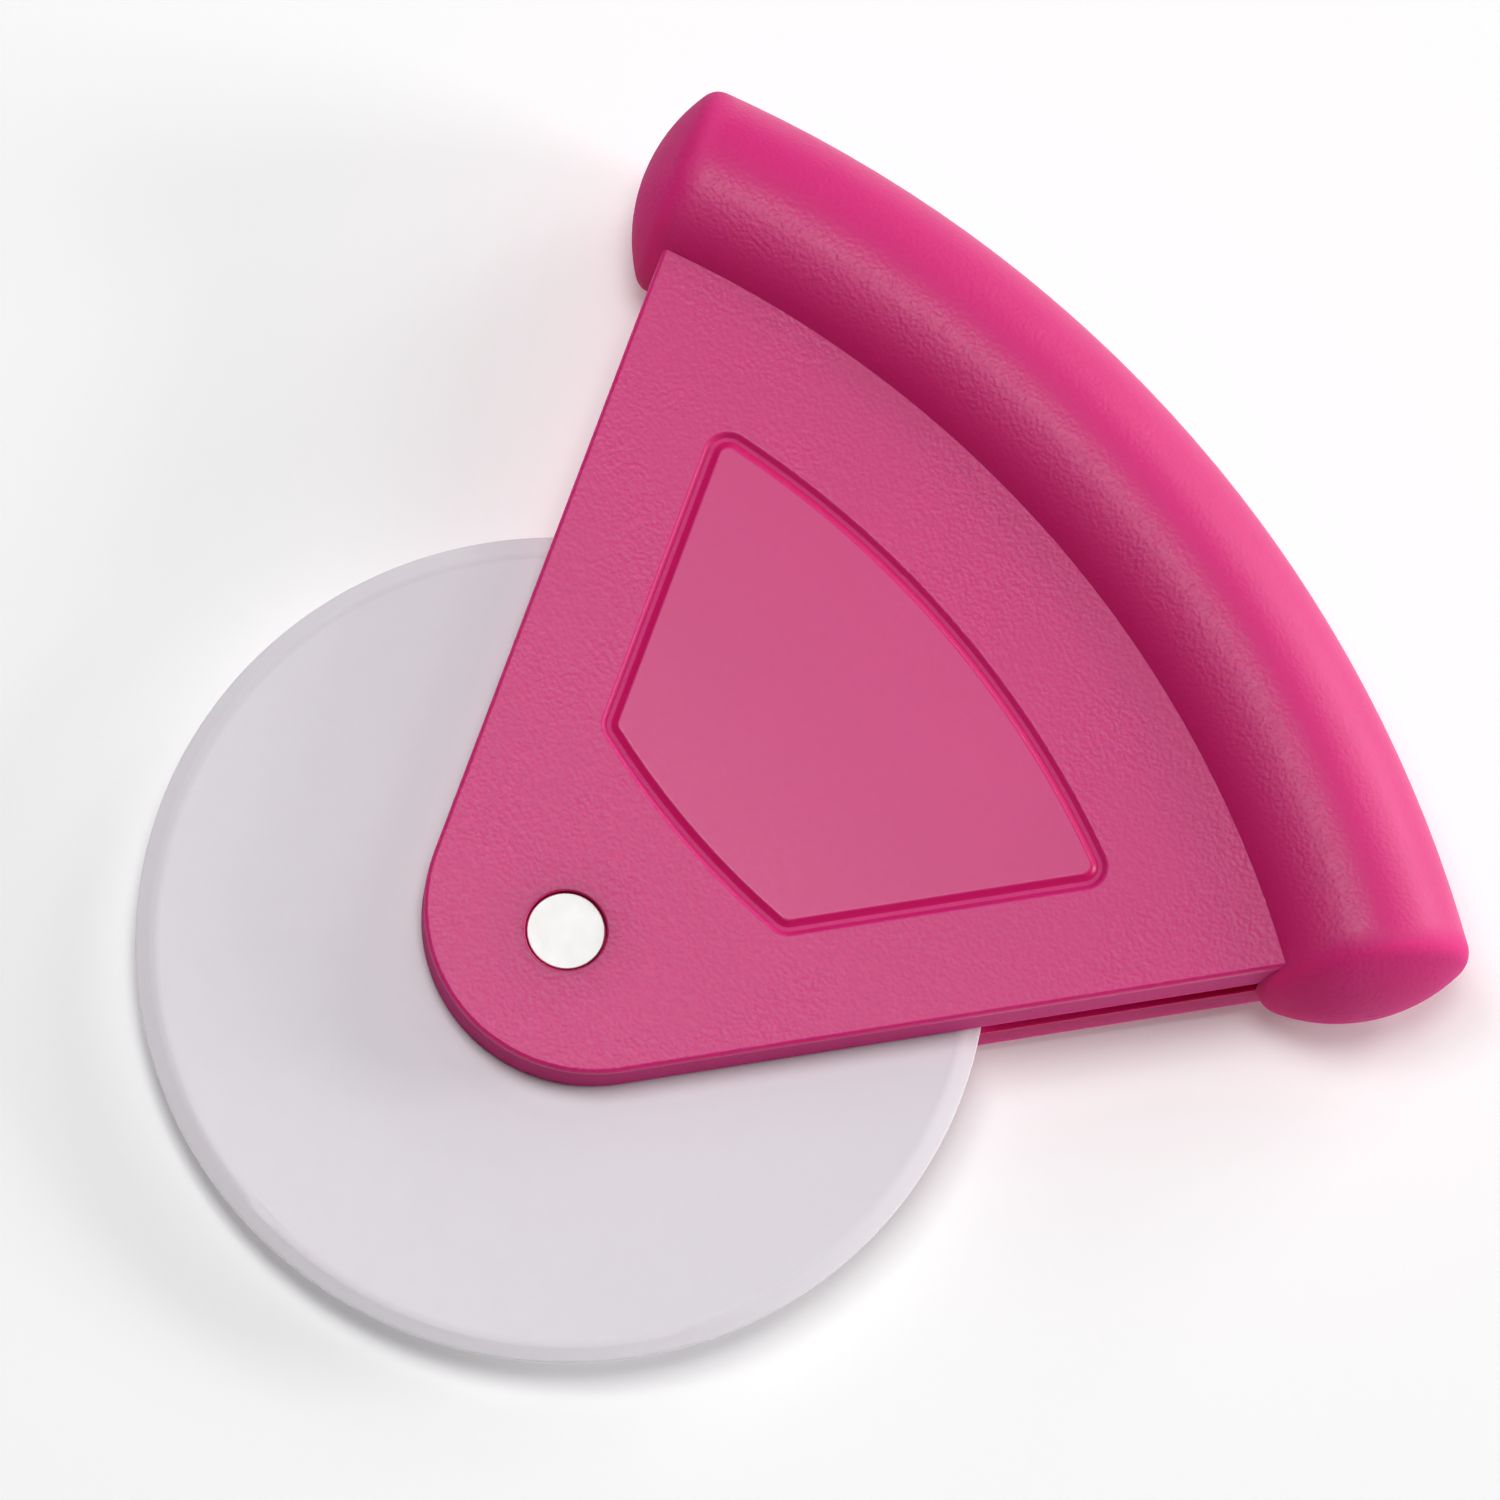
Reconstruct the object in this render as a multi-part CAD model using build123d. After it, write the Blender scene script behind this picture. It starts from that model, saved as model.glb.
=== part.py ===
from build123d import *
import math
import os

# Pizza wheel shaped like a slice of pizza: two slice-shaped cheeks with a narrow
# slot between them, a round arc-shaped crust for a grip, and a disc-shaped wheel
# that turns in the slot on a flush riveted axle.
#
# Frame: millimetres, lying on its back, +Z up along the axle. The slice's own
# centre line runs along +Y (tip towards -Y, crust towards +Y). The origin is on
# the surface the crust lies on, under the middle of the object's box.

# ---------------------------------------------------------------- dimensions
wheel_d = 70.0            # wheel diameter
wheel_t = 1.6             # wheel thickness between its flat faces
wheel_land = 0.5          # thickness left at the very edge
wheel_bevel = 1.5         # radial width of the edge bevel
bevel_round = 2.4         # rounding where the bevel leaves the face
rim_round = 0.12          # rounding of the edge's two corners
hub_ring_d = 16.0         # raised rubbing ring round the bore
hub_ring_h = 0.15         # its height above each face

slot = 2.2                # gap between the cheeks
body_t = 11.0             # outside thickness over both cheeks
edge_fillet = 0.4         # rounding of the cheeks' outer edges
half_angle = 30.0         # half of the slice's angle
tip_r = 13.85             # radius of the rounded tip
tip_c = 2.9               # tip centre above the axle

crust_R = 100.5           # radius of the crust's centre line
crust_c = -40.8           # centre of that arc, from the axle
crust_r = 8.9             # outside radius of the crust
crust_wall = 1.8          # wall of the hollow crust
crust_half = 25.45        # half of the angle the crust spans, to the caps
end_tilt = 29.0           # the crust's ends are cut nearly parallel to the slice's sides
cap_round = 1.75          # rounding at the rim of each end cap
cap_h = 3.9               # height of each domed end cap
plug_len = 2.8            # length of the plug behind each cap
plug_r = 6.8              # radius of that plug
plug_flat = 3.8           # flat side of the plug, from the crust's centre line

face_t = 2.0              # thickness of a cheek's outer face
wall_t = 2.4              # width of a cheek's edge wall
rib_t = 1.4               # stiffening ribs inside a cheek
boss_d = 18.0             # boss round the axle inside a cheek

panel_top = 40.48         # smooth panel's outer arc, from the axle, on the centre line
panel_bot = 13.6          # smooth panel's inner arc, on the centre line
panel_bot_R = 68.0        # radius of the inner arc
panel_off = 2.4           # half width of the panel's sides, produced down to the axle
panel_corner = 0.8        # corner radius of the panel
groove_in = -0.02         # groove round the panel: its inner and outer lips, from the panel's outline
groove_out = 1.25
groove_d = 0.42           # its depth
groove_run_in = 0.55      # width of its sloping inner side, under the panel's edge
groove_run_out = 0.38     # width of its sloping outer side
groove_lip_in = 0.45      # rounding of its two lips
groove_lip_out = 0.35

lip_r0, lip_r1 = 97.35, 99.6   # snap lip on each cheek's tongue, radii about the crust's centre
lip_h = 0.7                    # height of the snap lip over the cheek's face
tongue_half = 22.6             # half angle of the tongue inside the crust
spacer_r0, spacer_r1 = 94.8, 100.2
spacer_half = 22.4
peg_d = 3.0                    # pegs on the spacer
peg_h = 1.6
peg_angles = (-15.0, 0.0, 15.0)
peg_r = 97.6

head_d = 6.45             # rivet head
head_t = 1.2
head_sunk = 0.25          # how far the head lies under the cheek's face
sink_d = 6.75             # counterbore in the cheek
sink_round = 0.15         # rounding of its rim
head_round = 0.12         # rounding of the head's rim
post_d = 5.0              # outside of the hollow rivet half
pin_d = 3.0               # solid rivet half, pressed into it
axle_fit = 0.05           # radial clearance on the axle and the bush
bush_d = 8.0              # bush the wheel turns on

# ---------------------------------------------------------------- place
half_t = body_t / 2
half_s = slot / 2
y_low = -wheel_d / 2
y_high = crust_c + crust_R + crust_r
axle_y = -(y_low + y_high) / 2
axle_z = crust_r
place = Location((0, axle_y, axle_z))

os.makedirs("parts", exist_ok=True)


def write(shape, name):
    shape = place * shape
    shape.label = name
    export_step(shape, "parts/%s.step" % name)


# Everything below is drawn about the axle, with z = 0 in the wheel's middle plane.
def polar(radius, angle, cy=crust_c):
    a = math.radians(angle)
    return (radius * math.sin(a), cy + radius * math.cos(a))


def cylinder(radius, z0, z1, x=0.0, y=0.0):
    return Pos(x, y, (z0 + z1) / 2) * Cylinder(radius, z1 - z0)


def prism(face, z0, z1):
    return Pos(0, 0, z0) * extrude(face, z1 - z0)


def ring_sector(r0, r1, half, cy=crust_c):
    line = Curve() + [
        ThreePointArc(polar(r0, -half, cy), polar(r0, 0, cy), polar(r0, half, cy)),
        Line(polar(r0, half, cy), polar(r1, half, cy)),
        ThreePointArc(polar(r1, half, cy), polar(r1, 0, cy), polar(r1, -half, cy)),
        Line(polar(r1, -half, cy), polar(r0, -half, cy)),
    ]
    return make_face(line)


def meet_side(offset, radius, cy):
    # where a slice side |x| = tan(half_angle) * y + offset meets a circle about (0, cy)
    k = math.tan(math.radians(half_angle))
    a = 1 + k * k
    b = 2 * (k * offset - cy)
    c = offset * offset + cy * cy - radius * radius
    y = (-b + math.sqrt(b * b - 4 * a * c)) / (2 * a)
    return (k * y + offset, y)


# ---------------------------------------------------------------- slice outline
slice_end_r = 96.3
ca, sa = math.cos(math.radians(half_angle)), math.sin(math.radians(half_angle))
side_off = tip_r / ca - tip_c * math.tan(math.radians(half_angle))


def slice_face(inset=0.0, end_r=slice_end_r):
    r = tip_r - inset
    off = r / ca - tip_c * math.tan(math.radians(half_angle))
    right = (r * ca, tip_c - r * sa)
    far = meet_side(off, end_r, crust_c)
    line = Curve() + [
        ThreePointArc((-right[0], right[1]), (0, tip_c - r), right),
        Line(right, far),
        ThreePointArc(far, (0, crust_c + end_r), (-far[0], far[1])),
        Line((-far[0], far[1]), (-right[0], right[1])),
    ]
    return make_face(line)


def slice_block():
    # the full body between the two outer faces, with rounded outer edges along
    # the tip and the two straight sides
    block = prism(slice_face(), -half_t, half_t)
    rims = [
        e
        for e in block.edges()
        if abs(abs(e.center().Z) - half_t) < 1e-6
        and math.hypot(e.center().X, e.center().Y - crust_c) < slice_end_r - 1.0
    ]
    return fillet(rims, edge_fillet)


def panel_face(grow):
    # outline of the smooth panel, grown outwards by 'grow'
    off = panel_off + grow / ca
    top_R = panel_top - crust_c + grow
    bot_R = panel_bot_R + grow
    bot_c = panel_bot + panel_bot_R
    k = math.tan(math.radians(half_angle))
    upper = meet_side(off, top_R, crust_c)
    a = 1 + k * k
    b = 2 * (k * off - bot_c)
    c = off * off + bot_c * bot_c - bot_R * bot_R
    y = (-b - math.sqrt(b * b - 4 * a * c)) / (2 * a)
    lower = (k * y + off, y)
    line = Curve() + [
        ThreePointArc((-lower[0], lower[1]), (0, bot_c - bot_R), lower),
        Line(lower, upper),
        ThreePointArc(upper, (0, crust_c + top_R), (-upper[0], upper[1])),
        Line((-upper[0], upper[1]), (-lower[0], lower[1])),
    ]
    face = make_face(line)
    return fillet(face.vertices(), panel_corner + grow)


def from_panel(p):
    # distance of a point from the panel's sides, positive outside them
    k = math.tan(math.radians(half_angle))
    side = (abs(p.X) - k * p.Y - panel_off) * ca
    top = math.hypot(p.X, p.Y - crust_c) - (panel_top - crust_c)
    bot = math.hypot(p.X, p.Y - panel_bot - panel_bot_R) - panel_bot_R
    return max(side, top, bot)


def panel_groove():
    # ring that cuts the groove: flat floor, and a sloping side along each edge of it
    over = 0.2
    z0 = half_t - groove_d
    tall = groove_d + over
    run_in = groove_run_in / groove_d * tall
    run_out = groove_run_out / groove_d * tall
    ring = prism(panel_face(groove_out + run_out - groove_run_out) - panel_face(groove_in - run_in + groove_run_in),
                 z0, z0 + tall)

    def floor():
        return [f for f in ring.faces() if abs(f.center().Z - z0) < 1e-6][0]

    ring = chamfer(floor().outer_wire().edges(), run_out, tall - 0.001, reference=floor())
    ring = chamfer(floor().inner_wires()[0].edges(), run_in, tall - 0.001, reference=floor())
    return ring


block = slice_block()


# ---------------------------------------------------------------- cheeks
def front_cheek_solid():
    upper = prism(Rectangle(300, 300), half_s, half_t + 1)
    cheek = block & upper
    # tongue and snap lip inside the crust
    tongue = prism(ring_sector(slice_end_r - 1.5, lip_r1, tongue_half), half_s, half_t)
    lip = prism(ring_sector(lip_r0, lip_r1, tongue_half), half_t - 0.4, half_t + lip_h)
    lip_edge = lip.edges().filter_by(lambda e: abs(e.center().Z - half_t - lip_h) < 1e-6
                                     and math.hypot(e.center().X, e.center().Y - crust_c) > lip_r1 - 1.0)
    lip = chamfer(lip_edge.sort_by_distance((0, crust_c + lip_r1, half_t + lip_h))[0], 0.45)
    cheek = cheek + tongue + lip

    # cored out from the slot side, leaving an edge wall, the axle boss and ribs
    core_face = slice_face(wall_t, 90.2)
    core = prism(core_face, half_s - 1, half_t - face_t)
    ups = [e for e in core.edges() if abs(e.center().X) > 1 and abs((e.center().Z) - (half_s - 1 + half_t - face_t) / 2) < 0.01]
    core = fillet(ups, 2.0)
    core = core - cylinder(boss_d / 2, -2, half_t)
    for angle in (-19.0, 0.0, 19.0):
        rib = Pos(0, 60, half_s) * Box(rib_t, 120, 12)
        core = core - (Rot(0, 0, angle) * rib)
    cross = prism(ring_sector(67.2 - rib_t / 2, 67.2 + rib_t / 2, 40.0), half_s - 2, half_t)
    core = core - cross
    cheek = cheek - core

    # sunk seat for the rivet head and the axle's bore
    cheek = cheek - cylinder(sink_d / 2, half_t - head_sunk - head_t, half_t + 1)
    cheek = cheek - cylinder(post_d / 2 + axle_fit, -1, half_t)
    rim = [e for e in cheek.edges().filter_by(GeomType.CIRCLE)
           if abs(e.radius - sink_d / 2) < 1e-6 and abs(e.center().Z - half_t) < 1e-6]
    cheek = fillet(rim, sink_round)

    # groove round the smooth panel, with sloping sides and a narrow floor
    before = {round(e.length, 4) for e in cheek.edges() if abs(e.center().Z - half_t) < 1e-6}
    cheek = cheek - panel_groove()
    lips = [e for e in cheek.edges()
            if abs(e.center().Z - half_t) < 1e-6 and round(e.length, 4) not in before]
    inner = [e for e in lips if from_panel(e.position_at(0.5)) < 0.3]
    cheek = fillet(inner, groove_lip_in)
    outer = [e for e in cheek.edges()
             if abs(e.center().Z - half_t) < 1e-6 and round(e.length, 4) not in before
             and 0.3 < from_panel(e.position_at(0.5)) < 2.0]
    cheek = fillet(outer, groove_lip_out)

    # blind holes for the spacer's pegs
    for angle in peg_angles:
        x, y = polar(peg_r, angle)
        cheek = cheek - cylinder(peg_d / 2 + 0.03, half_s - 1, half_s + peg_h + 0.3, x, y)
    return cheek


front_cheek = front_cheek_solid()
rear_cheek = mirror(front_cheek, Plane.XY)
write(front_cheek, "front_cheek")
write(rear_cheek, "rear_cheek")

# ---------------------------------------------------------------- spacer in the crust's mouth
spacer = prism(ring_sector(spacer_r0, spacer_r1, spacer_half), -half_s, half_s)
corner = [e for e in spacer.edges() if abs(e.center().Z) < 1e-6]
spacer = fillet(corner, 1.0)
for angle in peg_angles:
    x, y = polar(peg_r, angle)
    peg = cylinder(peg_d / 2, -half_s - peg_h, half_s + peg_h, x, y)
    ends = [e for e in peg.edges() if abs(abs(e.center().Z) - half_s - peg_h) < 1e-6]
    spacer = spacer + chamfer(ends, 0.3)
write(spacer, "slot_spacer")


# ---------------------------------------------------------------- crust
def arc_tube(radius, half):
    # round bar bent along the crust's arc
    start = polar(crust_R, -half)
    section = Plane(origin=(start[0], start[1], 0), x_dir=(start[0], start[1] - crust_c, 0),
                    z_dir=(math.cos(math.radians(-half)), -math.sin(math.radians(-half)), 0))
    return revolve(section * Circle(radius), Axis((0, crust_c, 0), (0, 0, -1)), 2 * half)


def end_frame(side):
    # plane across the crust at one end, x outwards across the arc, z out of the end
    p = polar(crust_R, side * crust_half)
    a = math.radians(end_tilt)
    return Plane(origin=(p[0], p[1], 0), x_dir=(side * math.sin(a), math.cos(a), 0),
                 z_dir=(side * math.cos(a), -math.sin(a), 0))


crust = arc_tube(crust_r, crust_half + 4.0) - arc_tube(crust_r - crust_wall, crust_half + 6.0)
for side in (-1, 1):
    crust = crust - end_frame(side).location * (Pos(0, 0, 15) * Box(60, 60, 30))
crust = crust - block
write(crust, "crust_grip")


def cap_profile():
    # half section of a cap: rounded rim, then a shallow spherical dome
    lo, hi = 1e-4, 1.5
    for _ in range(80):
        g = (lo + hi) / 2
        r1 = crust_r - cap_round + cap_round * math.sin(g)
        top = cap_round * math.cos(g) + r1 * math.tan(g / 2)
        if top < cap_h:
            lo = g
        else:
            hi = g
    r1 = crust_r - cap_round + cap_round * math.sin(g)
    h1 = cap_round * math.cos(g)
    Rs = r1 / math.sin(g)
    m = (math.pi / 2 - g) / 2
    mid1 = (crust_r - cap_round + cap_round * math.cos(m), cap_round * math.sin(m))
    mid2 = (Rs * math.sin(g / 2), h1 + Rs * (math.cos(g / 2) - math.cos(g)))
    return Curve() + [
        Line((0, 0), (crust_r, 0)),
        ThreePointArc((crust_r, 0), mid1, (r1, h1)),
        ThreePointArc((r1, h1), mid2, (0, cap_h)),
        Line((0, cap_h), (0, 0)),
    ]


def end_cap(side):
    half_section = Plane.XZ * make_face(cap_profile())
    cap = revolve(half_section, Axis.Z, 360)
    plug = cylinder(plug_r, -plug_len, 0.0)
    rim = [e for e in plug.edges() if abs(e.center().Z + plug_len) < 1e-6]
    plug = chamfer(rim, 0.4)
    plug = plug - Pos(-plug_flat - 10, 0, 0) * Box(20, 40, 40)
    hollow = cylinder(plug_r - 1.8, -plug_len - 1, 0.6)
    hollow = hollow - Pos(-plug_flat + 1.8 - 10, 0, 0) * Box(20, 40, 40)
    return end_frame(side).location * (cap + plug - hollow)


write(end_cap(-1), "crust_cap_left")
write(end_cap(1), "crust_cap_right")

# ---------------------------------------------------------------- wheel
wr, wt, wl = wheel_d / 2, wheel_t / 2, wheel_land / 2
bore_r = bush_d / 2 + axle_fit
hr = hub_ring_d / 2
ring_z = wt + hub_ring_h
wheel_half = [
    (bore_r, 0), (bore_r, ring_z), (hr - 0.3, ring_z), (hr, wt), (wr - wheel_bevel, wt),
    (wr, wl), (wr, 0),
]
outline = wheel_half + [(x, -z) for x, z in reversed(wheel_half[1:-1])]
section = make_face(Polyline(*outline, close=True))
wheel = revolve(Plane.XZ * section, Axis.Z, 360)
round_rim = [e for e in wheel.edges().filter_by(GeomType.CIRCLE)
             if abs(e.radius - (wr - wheel_bevel)) < 1e-6 and abs(abs(e.center().Z) - wt) < 1e-6]
wheel = fillet(round_rim, bevel_round)
land_rim = [e for e in wheel.edges().filter_by(GeomType.CIRCLE)
            if abs(e.radius - wr) < 1e-6 and abs(abs(e.center().Z) - wl) < 1e-6]
wheel = fillet(land_rim, rim_round)
write(wheel, "cutting_wheel")

# ---------------------------------------------------------------- axle
bush = cylinder(bush_d / 2, -half_s, half_s) - cylinder(post_d / 2 + axle_fit, -9, 9)
bush_ends = [e for e in bush.edges().filter_by(GeomType.CIRCLE) if abs(abs(e.center().Z) - half_s) < 1e-6]
bush = chamfer(bush_ends, 0.15)
write(bush, "wheel_bush")

head_z = half_t - head_sunk


def rivet_head():
    head = cylinder(head_d / 2, head_z - head_t, head_z)
    rim = [e for e in head.edges() if abs(e.center().Z - head_z) < 1e-6]
    return fillet(rim, head_round)


post = rivet_head() + cylinder(post_d / 2, -head_z + head_t + 0.3, head_z - head_t)
post = post - cylinder(pin_d / 2, -20, head_z - head_t - 0.6)
write(post, "axle_post")

pin_top = head_z - head_t - 1.1
pin = mirror(rivet_head(), Plane.XY) + cylinder(pin_d / 2, -head_z + head_t, pin_top)
pin_end = [e for e in pin.edges().filter_by(GeomType.CIRCLE) if abs(e.center().Z - pin_top) < 1e-6]
pin = chamfer(pin_end, 0.3)
write(pin, "axle_pin")
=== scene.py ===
import bpy
import math
from mathutils import Matrix, Vector

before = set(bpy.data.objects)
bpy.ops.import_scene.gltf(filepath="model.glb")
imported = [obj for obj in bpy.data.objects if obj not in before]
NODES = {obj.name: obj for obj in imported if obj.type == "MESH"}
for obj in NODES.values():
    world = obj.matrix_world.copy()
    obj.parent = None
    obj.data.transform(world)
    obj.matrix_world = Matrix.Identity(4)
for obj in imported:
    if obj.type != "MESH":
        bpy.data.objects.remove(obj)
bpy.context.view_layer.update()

# Places in the model's frame, in millimetres, as the CAD has them.
AXLE = (0.0, -16.8, 8.9)
CRUST_C = -40.8           # centre of the crust's arc, from the axle
CRUST_R = 100.5
PANEL_OFF = 2.4           # smooth panel: sides, outer arc and inner arc
PANEL_TOP = 40.48
PANEL_BOT = 13.6
PANEL_BOT_R = 68.0
PANEL_CORNER = 0.8
PANEL_EDGE = 0.47         # the smooth finish ends at the foot of the panel's edge
CAP_AT = (43.187, 49.948)     # middle of the plane where a cap meets the crust
CAP_OUT = (0.8746, -0.4848)   # and the way it faces

# ------------------------------------------------------------------ camera
# Photograph's viewpoint: about 16 degrees off the wheel's axis, far away.
CAM_X = Vector((0.6444037828852774, 0.7611671642942374, 0.0732687696321805))
CAM_Y = Vector((-0.7475186071688836, 0.6068505165733574, 0.27008958230731756))
CAM_Z = Vector((0.16112013077029289, -0.22881651718116533, 0.9600433870016736))
CAM_P = Vector((191.1734609878326, -253.02903941628074, 1157.5527715384019))
LENS = 351.1217415690954

cam_data = bpy.data.cameras.new("camera")
cam = bpy.data.objects.new("camera", cam_data)
bpy.context.scene.collection.objects.link(cam)
cam_data.sensor_fit = "HORIZONTAL"
cam_data.sensor_width = 36.0
cam_data.lens = LENS
cam_data.clip_start, cam_data.clip_end = 0.01, 20.0
spot = (CAM_P + Vector(AXLE)) / 1000.0
cam.matrix_world = Matrix((
    (CAM_X.x, CAM_Y.x, CAM_Z.x, spot.x),
    (CAM_X.y, CAM_Y.y, CAM_Z.y, spot.y),
    (CAM_X.z, CAM_Y.z, CAM_Z.z, spot.z),
    (0, 0, 0, 1)))
bpy.context.scene.camera = cam


# ------------------------------------------------------------------ node helpers
class Graph:
    """Small helper to write a shader's nodes as expressions."""

    def __init__(self, name):
        self.mat = bpy.data.materials.new(name)
        self.mat.use_nodes = True
        self.t = self.mat.node_tree
        self.t.nodes.clear()
        self.out = self.t.nodes.new("ShaderNodeOutputMaterial")
        self.coord = self.t.nodes.new("ShaderNodeTexCoord").outputs["Object"]

    def node(self, kind, **inputs):
        n = self.t.nodes.new(kind)
        for k, v in inputs.items():
            self.put(n.inputs[k.replace("_", " ")], v)
        return n

    def put(self, socket, value):
        if isinstance(value, bpy.types.NodeSocket):
            self.t.links.new(value, socket)
        else:
            socket.default_value = value

    def math(self, op, a, b=0.0, c=None, clamp=False):
        n = self.t.nodes.new("ShaderNodeMath")
        n.operation = op
        n.use_clamp = clamp
        self.put(n.inputs[0], a)
        self.put(n.inputs[1], b)
        if c is not None:
            self.put(n.inputs[2], c)
        return n.outputs[0]

    def noise(self, per_mm, detail=2.0, rough=0.5):
        n = self.t.nodes.new("ShaderNodeTexNoise")
        self.put(n.inputs["Vector"], self.coord)
        n.inputs["Scale"].default_value = per_mm * 1000.0
        n.inputs["Detail"].default_value = detail
        n.inputs["Roughness"].default_value = rough
        return n.outputs["Fac"]

    def remap(self, value, a, b, lo, hi, smooth=False):
        n = self.t.nodes.new("ShaderNodeMapRange")
        n.interpolation_type = "SMOOTHSTEP" if smooth else "LINEAR"
        self.put(n.inputs["Value"], value)
        n.inputs["From Min"].default_value = a
        n.inputs["From Max"].default_value = b
        n.inputs["To Min"].default_value = lo
        n.inputs["To Max"].default_value = hi
        return n.outputs["Result"]

    def ramp(self, value, stops):
        n = self.t.nodes.new("ShaderNodeValToRGB")
        self.put(n.inputs["Fac"], value)
        el = n.color_ramp.elements
        while len(el) < len(stops):
            el.new(0.5)
        for e, (pos, col) in zip(el, stops):
            e.position = pos
            e.color = (*col, 1.0)
        return n.outputs["Color"]

    def mix(self, fac, a, b):
        n = self.t.nodes.new("ShaderNodeMix")
        n.data_type = "RGBA"
        self.put(n.inputs[0], fac)
        self.put(n.inputs[6], a if isinstance(a, bpy.types.NodeSocket) else (*a, 1.0))
        self.put(n.inputs[7], b if isinstance(b, bpy.types.NodeSocket) else (*b, 1.0))
        return n.outputs[2]

    def bump(self, height, distance_mm, strength=1.0, normal=None):
        n = self.t.nodes.new("ShaderNodeBump")
        self.put(n.inputs["Strength"], strength)
        n.inputs["Distance"].default_value = distance_mm / 1000.0
        self.put(n.inputs["Height"], height)
        if normal is not None:
            self.put(n.inputs["Normal"], normal)
        return n.outputs["Normal"]

    def principled(self, **inputs):
        n = self.node("ShaderNodeBsdfPrincipled", **inputs)
        self.t.links.new(n.outputs["BSDF"], self.out.inputs["Surface"])
        return n


def dress(names, mat):
    for name in names:
        mesh = NODES[name].data
        mesh.materials.clear()
        mesh.materials.append(mat)


# ------------------------------------------------------------------ magenta plastic
ROUGH_GRAIN = 0.45        # gloss of the grained skin and of the smooth panel
ROUGH_PANEL = 0.38
ROUGH_GROOVE = 0.62
ROUGH_WALL = 0.80
ROUGH_DOME = 0.82
GRAIN_MM = 0.036          # full height of the grain
# painted shade: the pits of the grain are darkened as if shaded
PIT_SHADE = 0.10           # how much darker the pits are


def magenta(name, panel=False, grain_mm=GRAIN_MM, blue=1.0, lift=1.0):
    g = Graph(name)
    sep = g.t.nodes.new("ShaderNodeSeparateXYZ")
    g.put(sep.inputs[0], g.coord)
    x = g.math("MULTIPLY", g.math("ABSOLUTE", sep.outputs["X"]), 1000.0)
    y = g.math("SUBTRACT", g.math("MULTIPLY", sep.outputs["Y"], 1000.0), AXLE[1])

    # fine spark-eroded grain: soft rounded pits of a few tenths of a millimetre,
    # a little finer grit on them, and a slower waviness under them
    pits = g.noise(2.8, detail=0.8, rough=0.5)
    grit = g.noise(6.5, detail=1.0, rough=0.5)
    broad = g.noise(1.1, detail=1.0)
    height = g.math("ADD", pits, g.math("MULTIPLY", grit, 0.16))
    height = g.math("ADD", height, g.math("MULTIPLY", broad, 0.3))

    # slow unevenness of colour and gloss in the moulding
    cloud = g.noise(0.035, detail=2.0)
    speck = g.noise(1.6, detail=4.0, rough=0.65)

    if panel:
        # smooth inside the groove, on the panel and its edge
        k = math.tan(math.radians(30.0))
        c30 = math.cos(math.radians(30.0))
        side = g.math("MULTIPLY", g.math("SUBTRACT", x, g.math("MULTIPLY_ADD", y, k, PANEL_OFF)), c30)
        dy = g.math("SUBTRACT", y, CRUST_C)
        top = g.math("SUBTRACT", g.math("SQRT", g.math("ADD", g.math("MULTIPLY", x, x), g.math("MULTIPLY", dy, dy))), PANEL_TOP - CRUST_C)
        ey = g.math("SUBTRACT", y, PANEL_BOT + PANEL_BOT_R)
        bot = g.math("SUBTRACT", g.math("SQRT", g.math("ADD", g.math("MULTIPLY", x, x), g.math("MULTIPLY", ey, ey))), PANEL_BOT_R)
        away = g.math("MAXIMUM", g.math("MAXIMUM", side, top), bot)
        # its corners are round; each term bends the distance round one kind of corner
        s0, t0, b0 = [g.math("MAXIMUM", g.math("ADD", d, PANEL_CORNER), 0.0) for d in (side, top, bot)]
        for p, q, bend in ((s0, t0, 0.53), (s0, b0, -0.77)):
            square = g.math("ADD", g.math("MULTIPLY", p, p), g.math("MULTIPLY", q, q))
            square = g.math("ADD", square, g.math("MULTIPLY", g.math("MULTIPLY", p, q), bend))
            away = g.math("MAXIMUM", away, g.math("SUBTRACT", g.math("SQRT", square), PANEL_CORNER))
        grain = g.remap(away, PANEL_EDGE - 0.06, PANEL_EDGE + 0.06, 0.09, 1.0, smooth=True)
        # worn a little smoother in places
        grain = g.math("MULTIPLY", grain, g.remap(g.noise(0.11, detail=1.5), 0.35, 0.65, 0.65, 1.35, smooth=True))
        rough_base = g.remap(away, PANEL_EDGE - 0.06, PANEL_EDGE + 0.06, ROUGH_PANEL, ROUGH_GRAIN, smooth=True)
        # the floor and the outer wall of the groove are duller than the faces
        groove = g.remap(g.math("ABSOLUTE", g.math("SUBTRACT", away, 0.80)), 0.30, 0.42, 1.0, 0.0, smooth=True)
        rough_base = g.math("ADD", rough_base, g.math("MULTIPLY", groove, ROUGH_GROOVE - ROUGH_GRAIN))
        # and so are the walls round the slice and inside the slot
        level = g.math("SUBTRACT", g.math("MULTIPLY", sep.outputs["Z"], 1000.0), AXLE[2])
        depth = g.math("ABSOLUTE", level)
        rough_base = g.math("ADD", rough_base, g.remap(depth, 4.5, 5.0, ROUGH_WALL - ROUGH_GRAIN, 0.0, smooth=True))
    else:
        # the crust's inner half, towards the crease, is duller than the outer half, and
        # the grain shows most along its top
        cy = g.math("SUBTRACT", y, CRUST_C)
        rho = g.math("SUBTRACT", g.math("SQRT", g.math("ADD", g.math("MULTIPLY", x, x), g.math("MULTIPLY", cy, cy))), CRUST_R)
        grain = g.remap(g.math("ABSOLUTE", g.math("ADD", rho, 2.3)), 1.2, 3.2, 1.0, 0.45, smooth=True)
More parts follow.
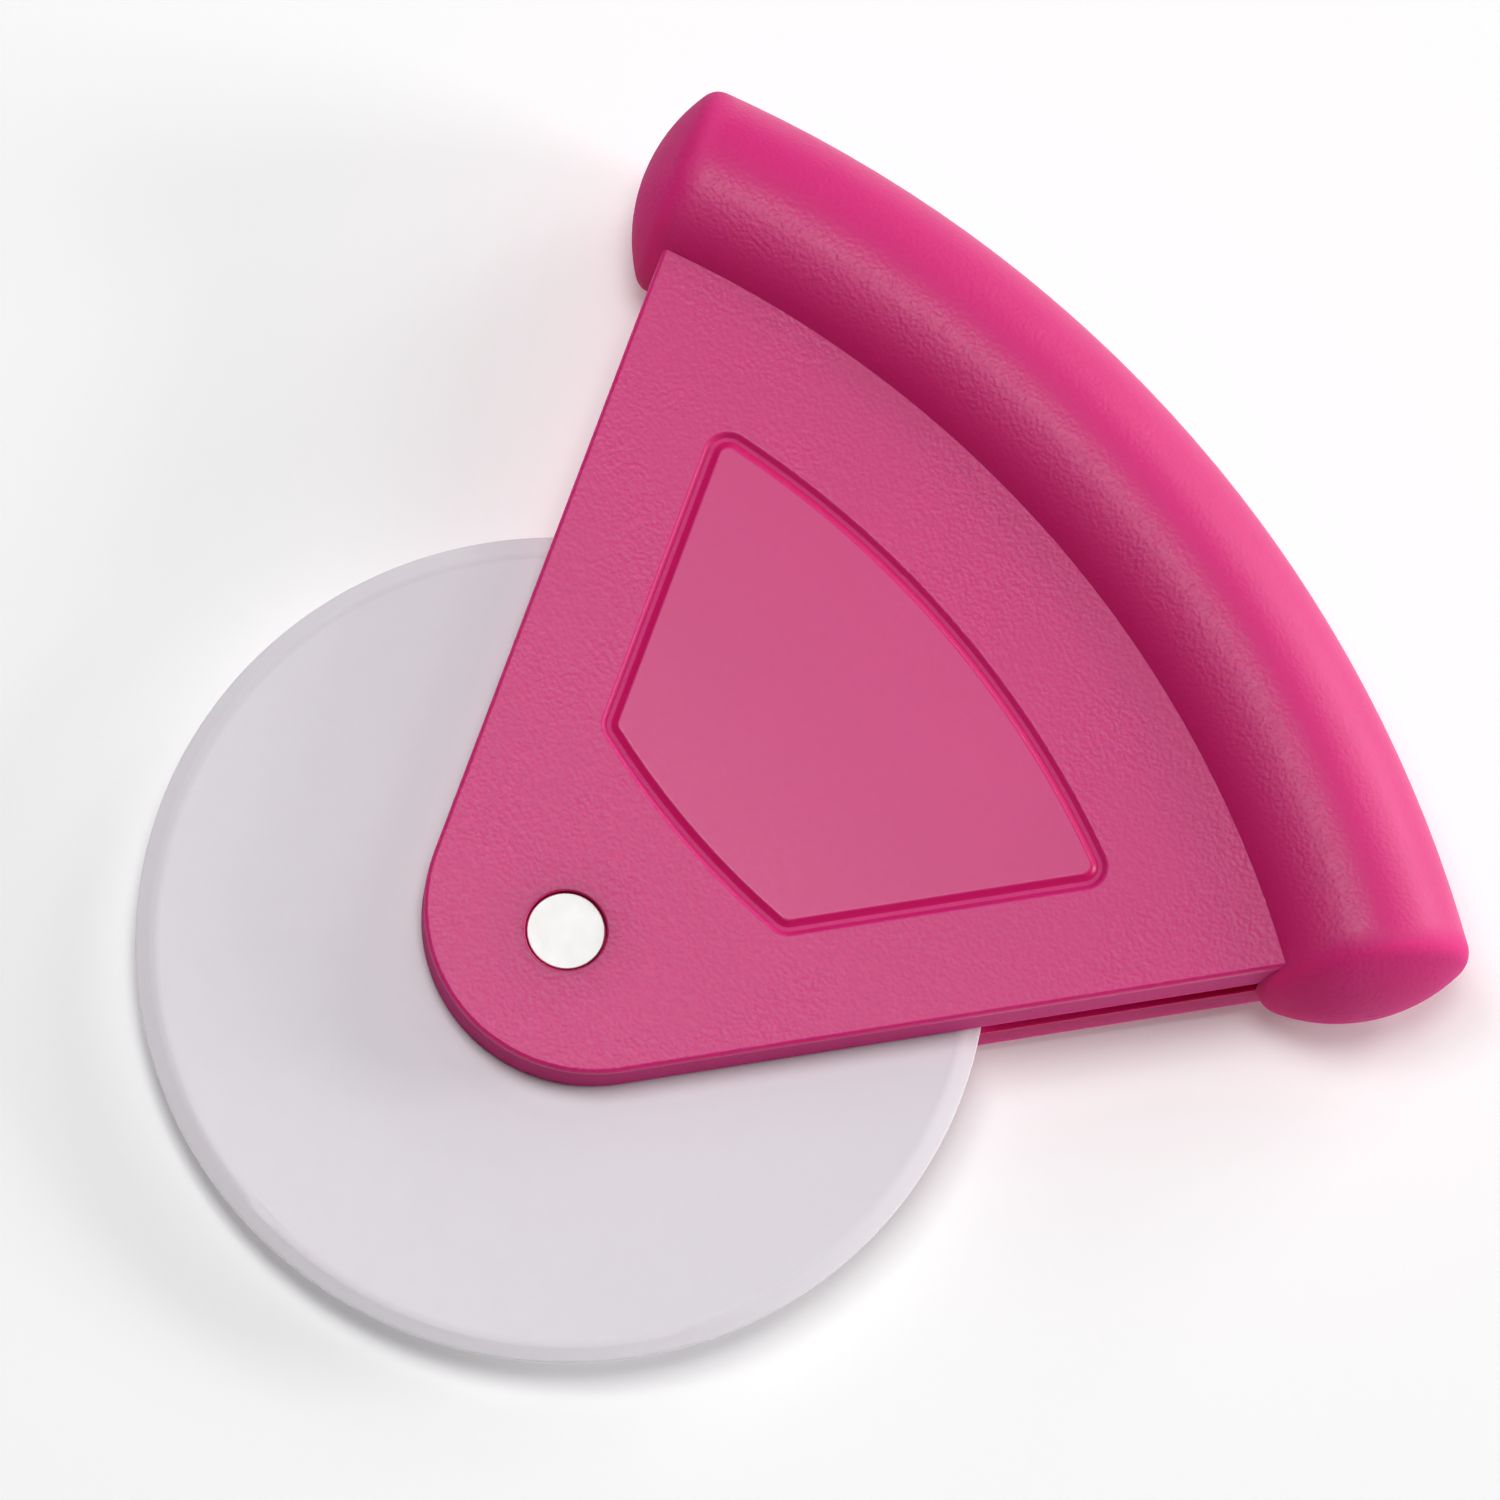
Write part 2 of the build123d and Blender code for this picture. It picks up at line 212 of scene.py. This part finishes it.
        # a cap's dome is duller still; the finish changes softly over the rim
        out = g.math("ADD", g.math("MULTIPLY", g.math("SUBTRACT", x, CAP_AT[0]), CAP_OUT[0]),
                     g.math("MULTIPLY", g.math("SUBTRACT", y, CAP_AT[1]), CAP_OUT[1]))
        rough_base = g.math("ADD", g.remap(out, -1.6, 0.9, ROUGH_GRAIN, ROUGH_DOME, smooth=True),
                            g.remap(rho, -3.2, -0.9, 0.12, 0.0, smooth=True))

    colour = g.ramp(cloud, [(0.30, (0.665 * lift, 0.0150, 0.205 * blue)), (0.70, (0.705 * lift, 0.0170, 0.221 * blue))])
    tint = g.remap(speck, 0.35, 0.75, 0.0, 0.10)
    colour = g.mix(tint, colour, (0.570, 0.012, 0.168 * blue))
    # painted shade: the pits themselves are painted a shade darker than the skin between them, standing in for the
    # shade in these small hollows
    ridge = g.math("MULTIPLY", grain, 0.3)
    colour = g.mix(ridge, colour, (0.800, 0.019, 0.250 * blue))
    pit_shade = g.math("MULTIPLY", g.remap(pits, 0.32, 0.66, PIT_SHADE, 0.0), grain)
    colour = g.mix(pit_shade, colour, (0.300, 0.006, 0.085 * blue))
    if not panel:
        # painted shade: the crust's inner half is painted a darker, deeper crimson towards the crease with the cheek
        colour = g.mix(g.remap(rho, -7.5, -2.0, 0.8, 0.0, smooth=True), colour, (0.605 * lift, 0.007, 0.145))
    if panel:
        # painted light: the slot and the edge fillets of the slice are painted a lighter, purer red, standing in for
        # light that comes through the plastic
        inside = g.remap(depth, 1.2, 1.5, 1.0, 0.0, smooth=True)
        colour = g.mix(inside, colour, (0.950, 0.008, 0.260))
        painted_brink_light = g.math("MULTIPLY", g.remap(g.math("ABSOLUTE", g.math("SUBTRACT", depth, 5.12)), 0.22, 0.34, 0.55, 0.0, smooth=True),
                       g.remap(away, 1.3, 1.5, 0.0, 1.0))
        colour = g.mix(painted_brink_light, colour, (0.920, 0.010, 0.215))
        # painted shade: the rear cheek's wall is painted deeper and darker in colour towards the slot, where the front
        # cheek shades it
        under = g.math("MULTIPLY", g.remap(level, -5.0, -1.5, 0.0, 0.85, smooth=True), g.remap(level, -1.4, -1.2, 1.0, 0.0))
        colour = g.mix(under, colour, (0.500, 0.004, 0.095))
        # the skin darkens softly towards the rivet; the rim of its seat is painted darker still, painted shade round
        # the hole; and the seat itself is painted a lighter, purer red, painted light standing in for light through the
        # plastic
        rr = g.math("SQRT", g.math("ADD", g.math("MULTIPLY", x, x), g.math("MULTIPLY", y, y)))
        near = g.math("ADD", g.remap(rr, 3.4, 4.6, 0.32, 0.0, smooth=True), g.remap(rr, 3.4, 8.0, 0.20, 0.0, smooth=True))
        colour = g.mix(near, colour, (0.410, 0.0095, 0.130))
        colour = g.mix(g.remap(rr, 3.45, 3.75, 0.8, 0.0, smooth=True), colour, (0.480, 0.006, 0.125))
        colour = g.mix(g.remap(rr, 3.385, 3.43, 1.0, 0.0, smooth=True), colour, (0.950, 0.006, 0.220))
        # painted shade: the panel's edge, the groove's inner wall, is painted a deeper, purer crimson than the skin,
        # the colour it has in shade
        edge = g.remap(g.math("ABSOLUTE", g.math("SUBTRACT", away, 0.26)), 0.22, 0.36, 0.8, 0.0, smooth=True)
        colour = g.mix(edge, colour, (0.730, 0.008, 0.160))
        # painted shade: the groove's outer wall is painted a deeper crimson, the colour it has in shade
        rim = g.remap(g.math("ABSOLUTE", g.math("SUBTRACT", away, 1.02)), 0.12, 0.24, 0.55, 0.0, smooth=True)
        colour = g.mix(rim, colour, (0.680, 0.008, 0.160))
    gloss = g.math("ADD", rough_base, g.remap(speck, 0.3, 0.7, -0.03, 0.03))
    normal = g.bump(height, grain_mm, grain)
    g.principled(Base_Color=colour, Roughness=gloss, Normal=normal, IOR=1.49,
                 Specular_IOR_Level=0.5, Subsurface_Weight=0.5, Subsurface_Scale=0.0003,
                 Subsurface_Radius=(1.0, 0.3, 0.45))
    return g.mat


# ------------------------------------------------------------------ white wheel
def white_plastic():
    g = Graph("wheel_white")
    cloud = g.noise(0.03, detail=2.0)
    flow = g.noise(0.5, detail=3.0)
    fine = g.noise(3.0, detail=3.0)
    colour = g.ramp(cloud, [(0.3, (0.801, 0.758, 0.808)), (0.7, (0.812, 0.769, 0.818))])
    # painted light: the bevel is painted paler than the face, standing in for light that passes through the thin edge
    sep = g.t.nodes.new("ShaderNodeSeparateXYZ")
    g.put(sep.inputs[0], g.coord)
    x = g.math("MULTIPLY", sep.outputs["X"], 1000.0)
    y = g.math("SUBTRACT", g.math("MULTIPLY", sep.outputs["Y"], 1000.0), AXLE[1])
    r = g.math("SQRT", g.math("ADD", g.math("MULTIPLY", x, x), g.math("MULTIPLY", y, y)))
    colour = g.mix(g.remap(r, 33.0, 33.9, 0.0, 1.0, smooth=True), colour, (0.920, 0.876, 0.925))
    rough = g.math("ADD", g.remap(flow, 0.3, 0.7, 0.38, 0.40), g.remap(fine, 0.3, 0.7, -0.02, 0.02))
    normal = g.bump(g.math("ADD", g.math("MULTIPLY", flow, 0.3), g.math("MULTIPLY", fine, 0.4)), 0.003)
    g.principled(Base_Color=colour, Roughness=rough, Normal=normal, IOR=1.49,
                 Subsurface_Weight=0.6, Subsurface_Scale=0.0006, Subsurface_Radius=(1.0, 0.9, 1.0))
    return g.mat


def bush_plastic():
    g = Graph("bush_natural")
    fine = g.noise(2.0, detail=3.0)
    colour = g.ramp(fine, [(0.3, (0.80, 0.79, 0.74)), (0.7, (0.84, 0.83, 0.78))])
    rough = g.remap(fine, 0.3, 0.7, 0.36, 0.44)
    g.principled(Base_Color=colour, Roughness=rough, Normal=g.bump(fine, 0.004), Subsurface_Weight=0.15,
                 Subsurface_Scale=0.001)
    return g.mat


# ------------------------------------------------------------------ rivet metal
def rivet_metal():
    g = Graph("rivet_satin")
    # fine turning marks round the axle, broken up by a soft cloud
    sep = g.t.nodes.new("ShaderNodeSeparateXYZ")
    g.put(sep.inputs[0], g.coord)
    x = g.math("MULTIPLY", sep.outputs["X"], 1000.0)
    y = g.math("SUBTRACT", g.math("MULTIPLY", sep.outputs["Y"], 1000.0), AXLE[1])
    r = g.math("SQRT", g.math("ADD", g.math("MULTIPLY", x, x), g.math("MULTIPLY", y, y)))
    rings = g.math("SINE", g.math("MULTIPLY", g.math("ADD", r, g.math("MULTIPLY", g.noise(1.2), 0.08)), 42.0))
    cloud = g.noise(0.7, detail=3.0)
    rough = g.math("ADD", g.remap(cloud, 0.3, 0.7, 0.60, 0.64), g.math("MULTIPLY", rings, 0.02))
    colour = g.ramp(cloud, [(0.3, (0.745, 0.737, 0.727)), (0.7, (0.765, 0.757, 0.747))])
    # painted reflection: the flank of a head is painted the magenta colour of the seat round it, standing in for its
    # reflection
    colour = g.mix(g.remap(r, 3.17, 3.22, 0.0, 0.8), colour, (0.620, 0.050, 0.170))
    g.principled(Base_Color=colour, Metallic=1.0, Roughness=rough, Normal=g.bump(rings, 0.0012))
    return g.mat


PANELLED = magenta("magenta_panelled", panel=True, lift=1.02)
GRAINED = magenta("magenta_grained", grain_mm=0.085, blue=0.94)
# painted light: the caps' copy of the magenta plastic is painted 7 per cent lighter, standing in for more light on the
# domes
CAPPED = magenta("magenta_capped", grain_mm=0.085, blue=0.96, lift=1.07)
dress(["front_cheek", "rear_cheek"], PANELLED)
dress(["crust_grip", "slot_spacer"], GRAINED)
dress(["crust_cap_left", "crust_cap_right"], CAPPED)
dress(["cutting_wheel"], white_plastic())
dress(["wheel_bush"], bush_plastic())
dress(["axle_post", "axle_pin"], rivet_metal())


# ------------------------------------------------------------------ floor
# The object lies on its back: the crust's ends and the rear cheek's tip touch the
# surface, so in the model's frame the floor leans by about three degrees.
def resting_line():
    low = {}
    for o in NODES.values():
        for v in o.data.vertices:
            key = round(v.co.y, 4)
            if key not in low or v.co.z < low[key]:
                low[key] = v.co.z
    hull = []
    for p in sorted(low.items()):
        while len(hull) > 1 and ((hull[-1][0] - hull[-2][0]) * (p[1] - hull[-2][1])
                                 - (hull[-1][1] - hull[-2][1]) * (p[0] - hull[-2][0])) <= 0:
            hull.pop()
        hull.append(p)
    for (y0, z0), (y1, z1) in zip(hull, hull[1:]):
        if y0 <= 0.008 <= y1:
            slope = (z1 - z0) / (y1 - y0)
            return slope, z0 - slope * y0
    return 0.0, 0.0


SLOPE, HEIGHT = resting_line()


def floor_material():
    g = Graph("floor_pale")
    cloud = g.noise(0.004, detail=2.0)
    grain = g.noise(0.6, detail=3.0)
    colour = g.ramp(cloud, [(0.3, (0.935, 0.935, 0.935)), (0.7, (0.955, 0.955, 0.955))])
    rough = g.remap(grain, 0.3, 0.7, 0.75, 0.85)
    g.principled(Base_Color=colour, Roughness=rough, Normal=g.bump(grain, 0.01), Specular_IOR_Level=0.2,
                 Emission_Color=(1.0, 1.0, 1.0, 1.0), Emission_Strength=0.165)
    return g.mat


def make_floor():
    half = 3.0
    mesh = bpy.data.meshes.new("floor")
    corners = [(-half, -half), (half, -half), (half, half), (-half, half)]
    mesh.from_pydata([(x, y, HEIGHT + SLOPE * y - 0.00002) for x, y in corners], [], [(0, 1, 2, 3)])
    mesh.materials.append(floor_material())
    o = bpy.data.objects.new("floor", mesh)
    bpy.context.scene.collection.objects.link(o)
    return o


floor = make_floor()


# ------------------------------------------------------------------ light
def area(name, direction, distance, size, power, colour=(1, 1, 1), target=(0.0, 0.0, 0.009)):
    data = bpy.data.lights.new(name, "AREA")
    data.shape = "RECTANGLE"
    data.size, data.size_y = size
    data.energy = power
    data.color = colour
    o = bpy.data.objects.new(name, data)
    bpy.context.scene.collection.objects.link(o)
    d = Vector(direction).normalized()
    o.location = Vector(target) + d * distance
    o.rotation_mode = "QUATERNION"
    o.rotation_quaternion = d.to_track_quat("Z", "Y")
    o.visible_camera = False
    return o


def around(azimuth, elevation):
    a, e = math.radians(azimuth), math.radians(elevation)
    return (math.cos(a) * math.cos(e), math.sin(a) * math.cos(e), math.sin(e))


# A softbox straight above and a near one over the left edge light the flat faces, so the
# shadows on the wheel stay tight; a bank of low ones behind the crust makes its outer half
# the brightest and leaves its inner half dark.
LIGHTS = [
    area("overhead", around(0, 90), 1.0, (0.25, 0.25), 2.59),
    area("overhead_far", around(115, 80), 1.0, (0.30, 0.30), 0.82),
    area("near_left", around(185, 76), 0.45, (0.12, 0.12), 0.515),
    area("left_high", around(120, 50), 1.0, (0.34, 0.34), 0.33),
    area("far_high", around(80, 28), 1.0, (0.34, 0.34), 0.75),
    area("far_left", around(95, 20), 1.0, (0.34, 0.30), 1.30),
    area("far_right", around(50, 13), 1.0, (0.34, 0.24), 4.60),
    area("far_low", around(80, 4), 1.0, (0.34, 0.10), 1.70),
]

world = bpy.data.worlds.new("studio")
bpy.context.scene.world = world
world.use_nodes = True
world.node_tree.nodes["Background"].inputs["Color"].default_value = (1.0, 1.0, 1.0, 1.0)
world.node_tree.nodes["Background"].inputs["Strength"].default_value = 0.015

bpy.context.scene.view_settings.view_transform = "Standard"
bpy.context.scene.view_settings.look = "None"
